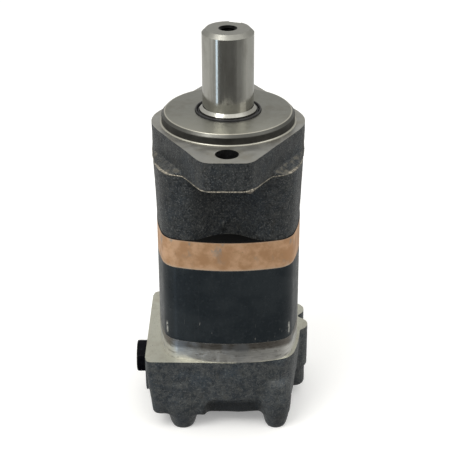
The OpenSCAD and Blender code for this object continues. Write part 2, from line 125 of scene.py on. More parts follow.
def noise(points, size, seed):
    """Smooth value noise from -1 to 1 at each point."""
    q = points / size + 31.7 * seed
    cell = np.floor(q).astype(np.int64)
    f = q - cell
    f = f * f * (3.0 - 2.0 * f)
    total = np.zeros(len(points))
    for i in (0, 1):
        for j in (0, 1):
            for k in (0, 1):
                h = (cell[:, 0] + i) * 73856093 ^ (cell[:, 1] + j) * 19349663 ^ (cell[:, 2] + k) * 83492791
                h = (h ^ (h >> 13)) * 1274126177 & 0xFFFFFFFF
                h = (h ^ (h >> 15)) & 0xFFFF
                weight = (f[:, 0] if i else 1 - f[:, 0]) * (f[:, 1] if j else 1 - f[:, 1])
                weight = weight * (f[:, 2] if k else 1 - f[:, 2])
                total += weight * (h / 32767.5 - 1.0)
    return total


def surface_of(field, low, step):
    """Quads around field = 0, with one point in each cell that the surface crosses."""
    inside = field < 0
    shape = tuple(n - 1 for n in field.shape)
    corners = [(i, j, k) for i in (0, 1) for j in (0, 1) for k in (0, 1)]
    count = np.zeros(shape, np.int8)
    for i, j, k in corners:
        count += inside[i:i + shape[0], j:j + shape[1], k:k + shape[2]]
    cells = np.argwhere((count > 0) & (count < 8))
    value = {c: field[cells[:, 0] + c[0], cells[:, 1] + c[1], cells[:, 2] + c[2]] for c in corners}
    total = np.zeros((len(cells), 3))
    hits = np.zeros(len(cells))
    for a in corners:
        for axis in range(3):
            if a[axis]:
                continue
            b = tuple(1 if n == axis else a[n] for n in range(3))
            crossing = (value[a] < 0) != (value[b] < 0)
            gap = np.where(crossing, value[a] - value[b], 1.0)
            point = np.repeat(np.array([a], float), len(cells), axis=0)
            point[:, axis] += value[a] / gap
            total += point * crossing[:, None]
            hits += crossing
    points = np.array(low) + step * (cells + total / hits[:, None])
    index = np.full(shape, -1, np.int64)
    index[cells[:, 0], cells[:, 1], cells[:, 2]] = np.arange(len(cells))
    quads = []
    for axis in range(3):
        b, c = (axis + 1) % 3, (axis + 2) % 3
        first = [slice(1, -1)] * 3
        second = [slice(1, -1)] * 3
        first[axis] = slice(0, -1)
        second[axis] = slice(1, None)
        below = inside[tuple(first)]
        above = inside[tuple(second)]
        edges = np.argwhere(below != above)
        out_above = below[edges[:, 0], edges[:, 1], edges[:, 2]]
        edges[:, b] += 1
        edges[:, c] += 1
        around = []
        for db, dc in ((1, 1), (0, 1), (0, 0), (1, 0)):
            cell = edges.copy()
            cell[:, b] -= db
            cell[:, c] -= dc
            around.append(index[cell[:, 0], cell[:, 1], cell[:, 2]])
        around = np.stack(around, axis=1)
        quads.append(np.where(out_above[:, None], around, around[:, ::-1]))
    return points, np.concatenate(quads)


def grid(low, high, step):
    """Sparse coordinate arrays over a box."""
    axes = [np.arange(low[n], high[n] + step, step) for n in range(3)]
    return np.meshgrid(*axes, indexing="ij", sparse=True)


# ---------------------------------------------------------------- mesh helpers


def mesh_object(name, points, faces):
    """A new object from points in millimetres."""
    mesh = bpy.data.meshes.new(name)
    corners = [tuple(p) for p in np.asarray(points) * MM]
    mesh.from_pydata(corners, [], [tuple(int(i) for i in f) for f in faces])
    mesh.update()
    piece = bpy.data.objects.new(name, mesh)
    bpy.context.scene.collection.objects.link(piece)
    return piece


def cut_flat(bm, at, outward, slot):
    """Cuts away what is beyond a plane (millimetres) and closes it with faces of one material slot."""
    geometry = bm.verts[:] + bm.edges[:] + bm.faces[:]
    cut = bmesh.ops.bisect_plane(
        bm, geom=geometry, dist=1e-7, plane_co=Vector(at) * MM, plane_no=Vector(outward), clear_outer=True)
    rim = [e for e in cut["geom_cut"] if isinstance(e, bmesh.types.BMEdge) and e.is_boundary]
    made = bmesh.ops.triangle_fill(
        bm, edges=rim, use_beauty=True, use_dissolve=False, normal=Vector(outward))
    for face in [f for f in made["geom"] if isinstance(f, bmesh.types.BMFace)]:
        face.material_index = slot
        if face.normal.dot(Vector(outward)) < 0:
            face.normal_flip()


def finish_mesh(piece, sharp_degrees=35):
    """Smooth shading, with edges sharper than the given angle left crisp."""
    piece.data.polygons.foreach_set("use_smooth", [True] * len(piece.data.polygons))
    piece.data.set_sharp_from_angle(angle=math.radians(sharp_degrees))
    piece.data.update()


def snap_bore(points, centre, radius, axis, low, high, reach=0.6):
    """Moves points close to a bore's wall onto it exactly. Returns which points moved."""
    across = [n for n in range(3) if n != axis]
    offset = points[:, across] - np.array(centre)
    distance = np.hypot(offset[:, 0], offset[:, 1])
    near = (np.abs(distance - radius) < reach) & (points[:, axis] > low) & (points[:, axis] < high)
    scale = radius / np.maximum(distance[near], 1e-6)
    for n, column in enumerate(across):
        points[near, column] = centre[n] + offset[near, n] * scale
    return near


def inside_box(points):
    """Holds points inside the CAD model's box, seen from above."""
    for axis in (0, 1):
        points[:, axis] = np.clip(points[:, axis], cad_box[0][axis] / MM, cad_box[1][axis] / MM)
    return points


def cast_skin(points, quads, keep_smooth, seed):
    """Pushes a cast surface in and out by the sand's grain, except where it is machined."""
    a = points[quads[:, 0]] - points[quads[:, 2]]
    b = points[quads[:, 1]] - points[quads[:, 3]]
    face_normals = np.cross(a, b)
    normals = np.zeros_like(points)
    for column in range(4):
        np.add.at(normals, quads[:, column], face_normals)
    normals /= np.maximum(np.linalg.norm(normals, axis=1), 1e-9)[:, None]
    push = (0.05 * noise(points, 1.1, seed) + 0.09 * noise(points, 2.6, seed + 1)
            + 0.10 * noise(points, 8.0, seed + 2) + 0.14 * noise(points, 25.0, seed + 3))
    return inside_box(points + normals * (push * ~keep_smooth)[:, None])


def machine_ends(piece, cuts):
    """Cuts a casting off flat at each (point, direction, material slot)."""
    bm = bmesh.new()
    bm.from_mesh(piece.data)
    for at, outward, slot in cuts:
        cut_flat(bm, at, outward, slot)
    bm.to_mesh(piece.data)
    bm.free()
    finish_mesh(piece)
    return piece


# ---------------------------------------------------------------- bearing housing casting

STEP = 0.75  # size of the castings' grid cells
COS30, SIN30 = math.cos(math.radians(30)), 0.5
FLANGE_FLAT = 45.3  # from the axis to the flange's slanted flats
FLANGE_SIDE_ROUND = 16.8
FLANGE_END_ROUND = 5.0
BODY_CORNER = 6.2
HOUSING_HALF = 47.1  # from the axis to the body's sides under the flange
HOUSING_TAPER = 1.6  # how much closer they are at the wear plate
VALLEY_R = 19.3  # room for a wrench under each mounting hole
BEARING_BORE = 28.0
BEARING_TOP = -12.5
SEAL_BORE = 24.0
WEB_Z = 1.5
WEB_BORE = 18.1


def flange_outline(x, y):
    """Lozenge with rounded corners: slanted flats 30 degrees from Y and blunt ends."""
    across, along = x * COS30, y * SIN30
    right = smooth_max(across + along - FLANGE_FLAT, across - along - FLANGE_FLAT, FLANGE_SIDE_ROUND)
    left = smooth_max(-across + along - FLANGE_FLAT, -across - along - FLANGE_FLAT, FLANGE_SIDE_ROUND)
    return smooth_max(np.maximum(left, right), np.abs(y) - HOUSING_HIGH[1], FLANGE_END_ROUND)


def body_outline(x, y, half):
    """The body's outline: four flat arcs with rounded corners."""
    reach = SIDE_ARC - half
    sides = np.maximum(np.hypot(x + reach, y), np.hypot(x - reach, y)) - SIDE_ARC
    ends = np.maximum(np.hypot(x, y + reach), np.hypot(x, y - reach)) - SIDE_ARC
    return smooth_max(sides, ends, BODY_CORNER)


def housing_field(x, y, z):
    """The bearing housing as cast, left long at both machined ends."""
    flange = flange_outline(x, y)
    lug = smooth_max(flange - 0.012 * z - 0.1, -(z + FLANGE_T), 1.6)
    half = HOUSING_HALF + (z + FLANGE_T) * (HOUSING_TAPER / (-FLANGE_T - Z_WEAR))
    body = body_outline(x, y, half)
    lobe_top = 0.93 * (z + 15.6 + 0.40 * flange)
    body = smooth_max(body, lobe_top, 1.0)
    valley = np.minimum(disc(x, y, 0, MOUNT_Y, VALLEY_R), disc(x, y, 0, -MOUNT_Y, VALLEY_R))
    body = smooth_max(body, -valley, 9.0)
    solid = smooth_min(body, lug, 0.9)
    # a lump that the mould left low in each valley
    nub = np.sqrt((x + 3) ** 2 + (np.abs(y) - 34.6) ** 2 + (0.45 * (z + 56)) ** 2) - 1.3
    return smooth_min(solid, nub, 1.5)


def housing_casting():
    """The bearing housing: cast outside, bored and drilled, its two ends machined flat."""
    low = (-50.25, -69.0, Z_WEAR - 3.0)
    x, y, z = grid(low, (50.25, 69.0, 4.0), STEP)
    field = housing_field(x, y, z)
    centre = disc(x, y, 0, 0, 0)
    bores = np.minimum(np.maximum(centre - BEARING_BORE, z - BEARING_TOP),
                       np.maximum(centre - SEAL_BORE, z + WEB_Z))
    bores = np.minimum(bores, centre - WEB_BORE)
    for side in (-1, 1):
        bores = np.minimum(bores, disc(x, y, 0, side * MOUNT_Y, MOUNT_R))
    points, quads = surface_of(np.maximum(field, -bores), low, STEP)
    machined = np.hypot(points[:, 0], points[:, 1]) < BEARING_BORE + 1.0
    for side in (-1, 1):
        machined |= snap_bore(points, (0, side * MOUNT_Y), MOUNT_R, 2, -FLANGE_T, 4.0)
    machined |= snap_bore(points, (0, 0), BEARING_BORE, 2, Z_WEAR - 3, BEARING_TOP - STEP)
    points = cast_skin(points, quads, machined, 1)
    piece = mesh_object("bearing_housing_casting", points, quads)
    return machine_ends(piece, (((0, 0, 0), (0, 0, 1), 1), ((0, 0, Z_WEAR), (0, 0, -1), 1)))


def outline_at(field, z, count, start=30.0, end=75.0):
    """Points of a star-shaped section of a field, found by halving along each ray."""
    angle = np.arange(count) * 2 * math.pi / count
    near = np.full(count, start)
    far = np.full(count, end)
    for _ in range(24):
        middle = (near + far) / 2
        inside = field(middle * np.cos(angle), middle * np.sin(angle), np.full(count, z)) < 0
        near = np.where(inside, middle, near)
        far = np.where(inside, far, middle)
    return angle, (near + far) / 2


def loop_faces(rings, around):
    """Quads between closed rings of points, the last ring joined to the first."""
    faces = []
    for ring in range(rings):
        below, above = ring * around, (ring + 1) % rings * around
        for n in range(around):
            after = (n + 1) % around
            faces.append((below + n, below + after, above + after, above + n))
    return faces


CLUMP_AT = math.radians(283)  # a thicker lump of flash, right of the front
CLUMP_SPREAD = 0.045


def parting_flash():
    """The thin ragged ridge that the mould's joint leaves round the flange's lower edge."""
    count = 900
    z_line = -FLANGE_T + 0.5
    angle, radius = outline_at(housing_field, z_line, count)
    way = np.stack([np.cos(angle), np.sin(angle)], axis=1)
    spots = np.column_stack([way * radius[:, None], np.zeros(count)])
    ragged = 0.34 + 0.22 * noise(spots, 3.0, 11) + 0.16 * noise(spots, 0.9, 12)
    drift = 0.22 * noise(spots, 14.0, 13)
    clump = np.exp(-((angle - CLUMP_AT) / CLUMP_SPREAD) ** 2)
    ragged = ragged + clump * (0.5 + 0.4 * noise(spots, 1.2, 14))
    profile = ((-0.9, -0.75), (0.0, -0.42), (1.0, -0.16), (1.0, 0.14), (0.0, 0.40), (-0.9, 0.75))
    points = []
    for out, up in profile:
        r = radius + np.where(out > 0, ragged, out)
        height = z_line + drift + (up + 0.25) * (1 + 2.4 * clump) - 0.25
        points.append(np.column_stack([way * r[:, None], height]))
    points = inside_box(np.concatenate(points))
    piece = mesh_object("parting_flash", points, loop_faces(len(profile), count))
    finish_mesh(piece, 60)
    return piece


# ---------------------------------------------------------------- valve housing casting

CAVITY_R = 30.4
CAVITY_Z = Z_BLOCK - 22.8
THREAD_MAJOR = PORT_R + 0.9
THREAD_DEPTH = 16.5
PORT_CHAMFER = 1.6
GALLERY_R = 5.0
GALLERY_X = -18.0  # where a port's passage ends, inside
RIM = 2.0
BLOCK_SIDE_Y = 45.6
RECESS_X, RECESS_HALF, RECESS_Y = 4.5, 19.5, 39.8  # the step back between the feet
CENTRE_BOSS_R = 24.0
# height above the foot's sole, and radius there
FOOT_PROFILE = ((0.0, 6.1), (1.0, 6.8), (3.2, 7.5), (7.0, 8.5), (12.0, 9.6), (22.0, 10.2), (36.0, 8.4))
BOLT_HOLE_R = 4.3
HEAD_HOLE_R = 5.3
HEAD_SEAT = 9.5
PLUG_Z = (PLUG_LOW[2] + PLUG_HIGH[2]) / 2
PLUG_HOLE_R = 8.3
PLUG_HOLE_DEPTH = 12.0
# x, y and radius
CHECK_BOSSES = ((44.6, 3.0, 8.4), (42.6, 22.0, 8.6))


def block_field(x, y, z):
    """The valve housing as cast, left long at the joint face, the feet and the port pad."""
    drop = Z_BLOCK - z
    # port side: a block with flat sides, whose wall leans in below the joint face
    lean = 0.115 * np.clip(drop - 8.5, 0, None)
    wall = np.maximum(-x - (PAD_X - 0.7) + lean, x - 6.0)
    side = np.abs(y) - BLOCK_SIDE_Y + 0.02 * drop
    block = smooth_max(wall, side, 4.0)
    # valve side: the body's outline standing a little proud, leaning in towards the base
    taper = 0.25 + 0.06 * np.clip(drop - 20.0, 0, None)
    round_end = body_outline(x - RIM * np.clip(1.2 - drop / 30.0, 0, 1), y, 45.9) + taper
    block = smooth_min(block, round_end, 2.5)
    # front and rear walls step back between the feet
    ledge = Z_BASE + 12.0 - 0.0016 * x * x
    recess = smooth_max(RECESS_Y - np.abs(y), z - ledge, 1.0)
    recess = smooth_max(recess, np.abs(x - RECESS_X) - RECESS_HALF, 7.0)
    block = smooth_max(block, -recess, 1.2)
    base = Z_BASE - 0.2 - 1.6 * np.clip(1.4 - np.abs(x) / 22.0, 0, 1)
    block = smooth_max(block, base - z, 3.0)
    # machined pad round the ports
    pad = smooth_min(np.hypot(np.abs(y) - PORT_Y, z - PORT_Z) - 14.4,
                     smooth_max(np.abs(y) - 40.0, Z_BLOCK - 12.0 - z, 4.0), 4.0)
    pad = smooth_min(pad, np.hypot(y, z - PLUG_Z) - 12.5, 4.0)
    pad = smooth_max(pad, -x - (PAD_X + 2.5), 1.0)
    pad = np.maximum(pad, x + PAD_X - 10)
    block = smooth_min(block, pad, 1.8)
    # feet, which run up the walls as half-round ribs
    height, radius = np.array(FOOT_PROFILE).T
    foot_r = np.interp(z - Z_FOOT, height, radius)
    port_side = np.clip(-x / 8.0, 0, 1)
    foot_x = np.abs(x) - BOLT_X + 1.3 * port_side
    foot = np.hypot(foot_x, np.abs(y) - BOLT_Y - 0.6) - foot_r - 0.9 * port_side
    foot = smooth_max(foot, z - (Z_FOOT + 36.0), 4.0)
    block = smooth_min(block, foot, 3.2)
    centre_boss = smooth_max(disc(x, y, 0, 0, CENTRE_BOSS_R), Z_BASE - 4.0 - z, 2.5)
    block = smooth_min(block, centre_boss, 3.0)
    # check valve bosses on the side away from the ports
    (x1, y1, r1), (x2, y2, r2) = CHECK_BOSSES
    first = smooth_max(disc(x, y, x1, y1, r1), Z_BASE + 10.0 - z, 2.4)
    first = smooth_min(first, smooth_max(disc(x, y, x1, y1, r1 - 1.5), Z_BASE - 5.0 - z, 2.6), 0.8)
    second = smooth_max(disc(x, y, x2, y2, r2), Z_BASE + 1.6 - z, 4.0)
    block = smooth_min(block, first, 1.6)
    return smooth_min(block, second, 1.6)


def valve_casting():
    """The valve housing: cast outside, with its cavity, ports and holes, machined on three sides."""
    low = (-PAD_X - 6.0, -51.0, Z_FOOT - 3.0)
    x, y, z = grid(low, (56.0, 51.0, Z_BLOCK + 3.0), STEP)
    field = block_field(x, y, z)
    hollow = np.maximum(disc(x, y, 0, 0, CAVITY_R), CAVITY_Z - z)
    bolt = np.hypot(np.abs(x) - BOLT_X, np.abs(y) - BOLT_Y)
    port = np.hypot(np.abs(y) - PORT_Y, z - PORT_Z)
    plug = np.hypot(y, z - PLUG_Z)
    depth = x + PAD_X
    for hole in (bolt - BOLT_HOLE_R,
                 np.maximum(bolt - HEAD_HOLE_R, z - (Z_FOOT + HEAD_SEAT)),
                 np.maximum(port - THREAD_MAJOR, depth - THREAD_DEPTH),
                 np.maximum(port - THREAD_MAJOR - PORT_CHAMFER, depth - PORT_CHAMFER),
                 np.maximum(port - GALLERY_R, x - GALLERY_X),
                 np.maximum(plug - PLUG_HOLE_R, depth - PLUG_HOLE_DEPTH)):
        hollow = np.minimum(hollow, hole)
    points, quads = surface_of(np.maximum(field, -hollow), low, STEP)
    machined = snap_bore(points, (0, 0), CAVITY_R, 2, CAVITY_Z + STEP, Z_BLOCK + 3)
    machined |= np.hypot(points[:, 0], points[:, 1]) < CAVITY_R + 0.5
    for side in (-1, 1):
        port_at = (side * PORT_Y, PORT_Z)
        machined |= snap_bore(points, port_at, THREAD_MAJOR, 0, -PAD_X - 3, -PAD_X + THREAD_DEPTH - 0.5)
    plug_end = -PAD_X + PLUG_HOLE_DEPTH - 0.5
    machined |= snap_bore(points, (0, PLUG_Z), PLUG_HOLE_R, 0, -PAD_X - 3, plug_end)
    for sx in (-1, 1):
        for sy in (-1, 1):
            at = (sx * BOLT_X, sy * BOLT_Y)
            machined |= snap_bore(points, at, HEAD_HOLE_R, 2, Z_FOOT - 3, Z_FOOT + HEAD_SEAT - STEP)
    points = cast_skin(points, quads, machined, 21)
    piece = mesh_object("valve_housing_casting", points, quads)
    return machine_ends(piece, (((0, 0, Z_BLOCK), (0, 0, 1), 1), ((-PAD_X, 0, 0), (-1, 0, 0), 1),
                                ((0, 0, Z_FOOT), (0, 0, -1), 0)))


# ---------------------------------------------------------------- lathe work and refined CAD copies


def outward_normals(piece):
    """Turns every face of a closed mesh outward."""
    bm = bmesh.new()
    bm.from_mesh(piece.data)
    bmesh.ops.recalc_face_normals(bm, faces=bm.faces)
    bm.to_mesh(piece.data)
    bm.free()


def lathe(name, profile, segments=216):
    """A closed (radius, height) profile turned about Z."""
    angle = np.arange(segments) * 2 * math.pi / segments
    points = [np.column_stack([r * np.cos(angle), r * np.sin(angle), np.full(segments, float(z))])
              for r, z in profile]
    piece = mesh_object(name, np.concatenate(points), loop_faces(len(profile), segments))
    outward_normals(piece)
    finish_mesh(piece, 30)
    return piece


def arc(cx, cz, r, start, end, steps=5):
    """Points of a circle's arc in the (radius, height) plane, with angles in degrees."""
    angles = np.radians(np.linspace(start, end, steps + 1))
    return [(cx + r * math.cos(a), cz + r * math.sin(a)) for a in angles]


def copy_node(node, bevel=0.3, segments=2, angle=30):
    """A CAD node's shape with its flat faces joined up and its sharp edges broken, in its place."""
    piece = frame["nodes"][node].copy()
    piece.data = frame["nodes"][node].data.copy()
    piece.name = piece.data.name = node + "_finished"
    bpy.context.scene.collection.objects.link(piece)
    bm = bmesh.new()
    bm.from_mesh(piece.data)
    bmesh.ops.remove_doubles(bm, verts=bm.verts, dist=1e-6)
    bmesh.ops.dissolve_limit(bm, angle_limit=math.radians(0.6), verts=bm.verts, edges=bm.edges)
    sharp = [e for e in bm.edges if e.is_manifold and e.calc_face_angle(0) > math.radians(angle)]
    bmesh.ops.bevel(bm, geom=sharp, offset=bevel * MM, segments=segments, profile=0.5,
                    affect="EDGES", clamp_overlap=True, material=1)
    bm.to_mesh(piece.data)
    bm.free()
    finish_mesh(piece, 30)
    weigh = piece.modifiers.new("even_normals", "WEIGHTED_NORMAL")
    weigh.keep_sharp = True
    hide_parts(node)
    return piece


def helix_liner(name, minor, major, pitch, length, columns, mouth=0.0):
    """Threaded wall of a hole about Z, from z = 0 down: a tube whose inner side is one helical groove."""
    rows_per_pitch = 8
    rows = int(length / pitch * rows_per_pitch)
    angle = np.arange(columns) * 2 * math.pi / columns
    rings = []
    for n in range(rows + 1):
        z = -length * n / rows
        phase = (-z / pitch - angle / (2 * math.pi)) % 1.0
        depth = np.clip(np.abs(phase - 0.5) * 3.2 - 0.3, 0.0, 1.0)
        r = minor + (major - minor) * depth * 0.92
        r = np.maximum(r, minor + mouth + z) if mouth else r
        rings.append(np.column_stack([r * np.cos(angle), r * np.sin(angle), np.full(columns, z)]))
    outside = [(major, -length), (major, 0.0)]
    if mouth:
        outside = [(major, -length), (major, -mouth), (major + mouth, 0.0)]
    for r, z in outside:
        rings.append(np.column_stack([r * np.cos(angle), r * np.sin(angle), np.full(columns, z)]))
    piece = mesh_object(name, np.concatenate(rings), loop_faces(len(rings), columns))
    outward_normals(piece)
    finish_mesh(piece, 50)
    return piece


def turn_to_port(piece, y):
    """Moves a liner from the Z axis into a port: its mouth is at the port face, looking along -X."""
    matrix = Matrix(((0, 0, -1), (0, 1, 0), (1, 0, 0))).to_4x4()
    matrix.translation = Vector((-PAD_X, y, PORT_Z)) * MM
    piece.data.transform(matrix)


# ---------------------------------------------------------------- materials


class Shader:
    """One procedural material. Its patterns are placed in millimetres in the shared frame."""

    def __init__(self, name, edge=False, **sockets):
        self.edge = edge
        self.material = bpy.data.materials.new(name + ("_edge" if edge else ""))
        self.material.use_nodes = True
        self.tree = self.material.node_tree
        self.bsdf = self.tree.nodes["Principled BSDF"]
        for socket, value in sockets.items():
            self.bsdf.inputs[socket.replace("_", " ")].default_value = value
        place = self.add("ShaderNodeTexCoord").outputs["Object"]
        in_mm = self.add("ShaderNodeVectorMath", {0: place, "Scale": 1.0 / MM}, operation="SCALE")
        self.mm = in_mm.outputs[0]
        self.axes = self.add("ShaderNodeSeparateXYZ", {0: self.mm}).outputs

    def add(self, kind, inputs=None, **settings):
        """A new node; each input is given a number, a colour or another node's output."""
        node = self.tree.nodes.new(kind)
        for key, value in settings.items():
            setattr(node, key, value)
        for key, value in (inputs or {}).items():
            self.put(node.inputs[key], value)
        return node

    def put(self, socket, value):
        if isinstance(value, bpy.types.NodeSocket):
            self.tree.links.new(value, socket)
        else:
            socket.default_value = value

    def math(self, operation, a, b=0.0):
        return self.add("ShaderNodeMath", {0: a, 1: b}, operation=operation).outputs[0]

    def stretched(self, x, y, z):
        """The place in millimetres with each axis scaled, which draws a pattern out along the smallest."""
        return self.add("ShaderNodeVectorMath", {0: self.mm, 1: (x, y, z)}, operation="MULTIPLY").outputs[0]

    def noise(self, size, detail=3.0, rough=0.55, at=None):
        """Noise whose grain is about size millimetres across."""
        node = self.add("ShaderNodeTexNoise", {"Vector": at or self.mm, "Scale": 1.0 / size,
                                               "Detail": detail, "Roughness": rough})
        return node.outputs["Fac"]

    def band(self, value, low, high, out_low=0.0, out_high=1.0):
        """Maps low..high to out_low..out_high with a smooth step, clamped."""
        node = self.add("ShaderNodeMapRange", {0: value, 1: low, 2: high, 3: out_low, 4: out_high},
                        interpolation_type="SMOOTHSTEP")
        return node.outputs[0]

    def mix(self, factor, a, b):
        node = self.add("ShaderNodeMix", data_type="RGBA")
        for socket, value in ((node.inputs[0], factor), (node.inputs[6], a), (node.inputs[7], b)):
            self.put(socket, value)
        return node.outputs[2]

    def curve(self, low, high):
        """One where the surface is convex (or concave, if low is above high), from the mesh itself."""
        return self.band(self.add("ShaderNodeNewGeometry").outputs["Pointiness"], low, high)

    def worn(self, base, colour, amount=0.8):
        """Rubs the broken edges down to a lighter colour, in an edge's material only."""
        if not self.edge:
            return base
        rubbed = self.band(self.noise(2.4, 4.0, 0.65), 0.34, 0.56, 0.15, amount)
        return self.mix(rubbed, base, colour)

    def radius(self):
        """Distance from the motor's axis."""
        across = self.stretched(1.0, 1.0, 0.0)
        return self.add("ShaderNodeVectorMath", {0: across}, operation="LENGTH").outputs["Value"]

    def turned_rings(self, pitch, jitter=0.35):
        """Fine lathe marks: rings about Z."""
        wander = self.math("MULTIPLY", self.noise(9.0), jitter)
        around = self.math("ADD", self.radius(), wander)
        ring = self.add("ShaderNodeCombineXYZ", {0: self.math("DIVIDE", around, pitch)})
        return self.noise(1.0, 2.0, 0.6, ring.outputs[0])

    def finish(self, colour, rough, height, lift):
        """Wires colour, roughness and bump; lift is the bump's height in millimetres."""
        self.put(self.bsdf.inputs["Base Color"], colour)
        self.put(self.bsdf.inputs["Roughness"], rough)
        bump = self.add("ShaderNodeBump", {"Height": height, "Distance": lift * MM, "Strength": 1.0})
        self.put(self.bsdf.inputs["Normal"], bump.outputs[0])
        return self.material


def rgb(r, g, b):
    return (r, g, b, 1.0)


RECESS_SHADE_X, RECESS_SHADE_HALF = 3.0, 22.0  # where painted shade darkens the recess between the feet


def cast_iron(name, tone, speckle):
    """Sand-cast iron under oil: mottled grey, with specks, pits and rubbed edges; painted shade in hollows,
    holes, the recess and low down, and painted highlights on shelves.
    """
    s = Shader(name, Metallic=0.3)

    def shade(r, g, b):
        return rgb(r * tone, g * tone, b * tone)

    mottle = s.band(s.noise(4.0, 5.0, 0.7), 0.38, 0.62)
    base = s.mix(mottle, shade(0.026, 0.031, 0.036), shade(0.060, 0.064, 0.064))
    cool = s.band(s.noise(19.0, 2.0), 0.50, 0.68, 0.0, 0.6)
    base = s.mix(cool, base, shade(0.038, 0.049, 0.060))
    brown = s.band(s.noise(10.0, 3.0, 0.6, s.stretched(1.0, 1.3, 0.6)), 0.60, 0.76, 0.0, 0.35)
    base = s.mix(brown, base, shade(0.070, 0.060, 0.044))
    speck = s.band(s.noise(1.1, 3.0, 0.75), 0.52, 0.64, 0.0, speckle)
    base = s.mix(speck, base, shade(0.165, 0.170, 0.165))
    pit = s.band(s.noise(1.5, 3.0, 0.7), 0.35, 0.48, speckle, 0.0)
    base = s.mix(pit, base, rgb(0.007, 0.008, 0.009))
    worn = s.math("MULTIPLY", s.curve(0.52, 0.60), s.band(s.noise(4.0, 3.0), 0.4, 0.6))
    base = s.mix(s.math("MULTIPLY", worn, 0.5), base, rgb(0.22, 0.215, 0.19))
    # painted shade: concave places are darkened almost to black
    base = s.mix(s.math("MULTIPLY", s.curve(0.47, 0.40), 0.85), base, rgb(0.006, 0.006, 0.006))
    # painted highlight: upward-facing cast shelves just below the flange are made lighter
    normal = s.add("ShaderNodeNewGeometry").outputs["Normal"]
    upward = s.add("ShaderNodeSeparateXYZ", {0: normal}).outputs[2]
    below_flange = s.band(s.axes[2], -FLANGE_T - 2.5, -FLANGE_T - 1.0)
    shelf_highlight = s.math("MULTIPLY", s.band(upward, 0.55, 0.85), below_flange)
    shelf_highlight = s.math("MULTIPLY", shelf_highlight, s.band(s.noise(4.5, 4.0, 0.6), 0.44, 0.60, 0.05, 0.8))
    base = s.mix(shelf_highlight, base, rgb(0.17, 0.158, 0.13))
    # painted shade: the walls of the mounting holes are darkened almost to black
    beside = s.math("SUBTRACT", s.math("ABSOLUTE", s.axes[1]), MOUNT_Y)
    from_hole = s.add("ShaderNodeCombineXYZ", {0: s.axes[0], 1: beside}).outputs[0]
    from_hole = s.add("ShaderNodeVectorMath", {0: from_hole}, operation="LENGTH").outputs["Value"]
    hole_shade = s.math("MULTIPLY", s.band(from_hole, MOUNT_R + 0.35, MOUNT_R + 0.1),
                       s.band(s.axes[2], Z_WEAR + 12.0, Z_WEAR + 14.0))
    base = s.mix(hole_shade, base, rgb(0.004, 0.004, 0.004))
    # painted shade: the recess between the front feet is darkened
    off_middle = s.math("ABSOLUTE", s.math("SUBTRACT", s.axes[0], RECESS_SHADE_X))
    between_feet = s.band(off_middle, RECESS_SHADE_HALF, RECESS_SHADE_HALF - 5)
    recess = s.math("MULTIPLY", between_feet, s.band(s.axes[2], Z_BASE + 9.0, Z_BASE + 5.5))
    base = s.mix(s.math("MULTIPLY", recess, 0.75), base, rgb(0.010, 0.012, 0.014))
    # painted shade: the iron darkens towards the floor
    shade_near_floor = s.band(s.axes[2], Z_BASE + 14.0, Z_BASE - 4.0, 0.0, 0.35)
    base = s.mix(shade_near_floor, base, rgb(0.020, 0.022, 0.024))
    rough = s.band(s.noise(2.0, 4.0, 0.6), 0.35, 0.68, 0.34, 0.56)
    height = s.math("ADD", s.noise(1.2, 3.0, 0.7), s.math("MULTIPLY", s.noise(0.5, 2.0), 0.5))
    return s.finish(base, rough, height, 0.55)


def machined_iron(name, tone, warmth):
    """Faced iron: fine turned rings, brown stains and small pores."""
    s = Shader(name, Metallic=0.85)
    rings = s.turned_rings(0.32)
    stain = s.band(s.noise(13.0, 4.0, 0.6), 0.42, 0.68)
    low, high = 0.36 * tone, 0.56 * tone
    base = s.mix(rings, rgb(low, low * 0.99, low * (1 - warmth)),
                 rgb(high, high, high * (1 - warmth * 0.7)))
    base = s.mix(s.math("MULTIPLY", stain, 0.55), base, rgb(low * 0.95, low * 0.88, low * 0.72))
    pores = s.band(s.noise(0.8, 2.0, 0.6), 0.28, 0.36, 0.6, 0.0)
    base = s.mix(pores, base, rgb(0.10, 0.10, 0.09))
    rough = s.band(s.noise(6.0, 3.0), 0.3, 0.7, 0.34, 0.52)
    return s.finish(base, rough, rings, 0.03)


